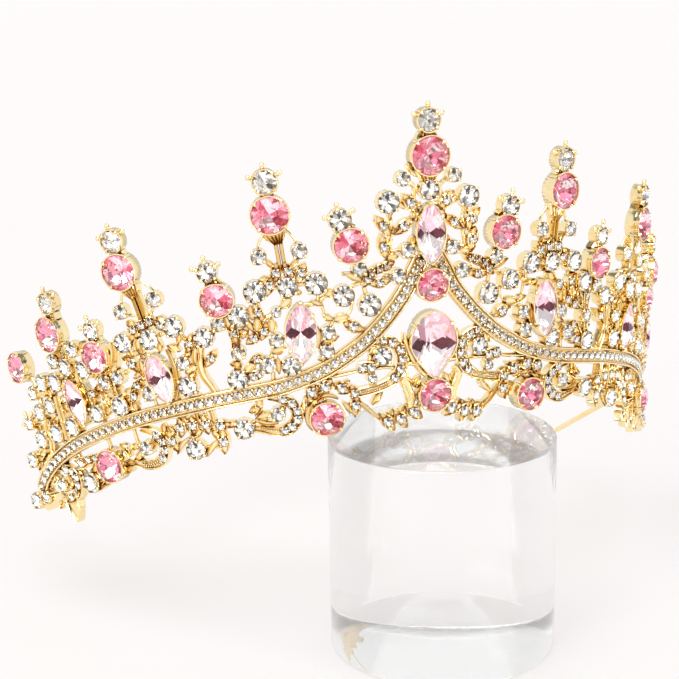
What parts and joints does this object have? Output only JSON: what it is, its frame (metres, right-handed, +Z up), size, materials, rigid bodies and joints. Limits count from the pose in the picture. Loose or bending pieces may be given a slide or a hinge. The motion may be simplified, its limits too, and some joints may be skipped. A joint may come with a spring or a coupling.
{
  "type": "princess crown on clear cylinder block",
  "caption": "Gold-plated princess tiara, open at the back, with pink, pale pink and clear cut stones in pierced scrollwork, standing tilted on a solid clear glass cylinder block.",
  "frame": {"origin": "middle of the clear block's underside", "axes": "+Z up, -Y towards the crown's convex front, +X towards the crown's right end as the viewer in front of it sees it"},
  "size_m": [0.1692, 0.115, 0.1203],
  "materials": {
    "gold_plate": "polished gold plate on cast alloy",
    "pink_glass": "faceted, foiled back",
    "pale_pink_glass": "faceted, foiled back",
    "clear_stone_glass": "faceted, foiled back",
    "clear_block_glass": "polished, clear"
  },
  "bodies": {
    "root": {"crown_frame": "gold_plate", "display_block": "clear_block_glass", "pink_middle": "pink_glass", "pink_apex": "pink_glass", "pink_base": "pink_glass", "marquise_middle": "pale_pink_glass", "pear_middle": "pale_pink_glass", "clear_tip": "clear_stone_glass", "pink_1_right": "pink_glass", "pink_2_right": "pink_glass", "pink_3_right": "pink_glass", "pink_4_right": "pink_glass", "pink_5_right": "pink_glass", "pink_6_right": "pink_glass", "pink_7_right": "pink_glass", "pink_8_right": "pink_glass", "pink_9_right": "pink_glass", "marquise_2_right": "pale_pink_glass", "clear_2_right": "clear_stone_glass", "marquise_4_right": "pale_pink_glass", "clear_4_right": "clear_stone_glass", "marquise_6_right": "pale_pink_glass", "clear_6_right": "clear_stone_glass", "pink_1_left": "pink_glass", "pink_2_left": "pink_glass", "pink_3_left": "pink_glass", "pink_4_left": "pink_glass", "pink_5_left": "pink_glass", "pink_6_left": "pink_glass", "pink_7_left": "pink_glass", "pink_8_left": "pink_glass", "pink_9_left": "pink_glass", "marquise_2_left": "pale_pink_glass", "clear_2_left": "clear_stone_glass", "marquise_4_left": "pale_pink_glass", "clear_4_left": "clear_stone_glass", "marquise_6_left": "pale_pink_glass", "clear_6_left": "clear_stone_glass"}
  },
  "joints": []
}
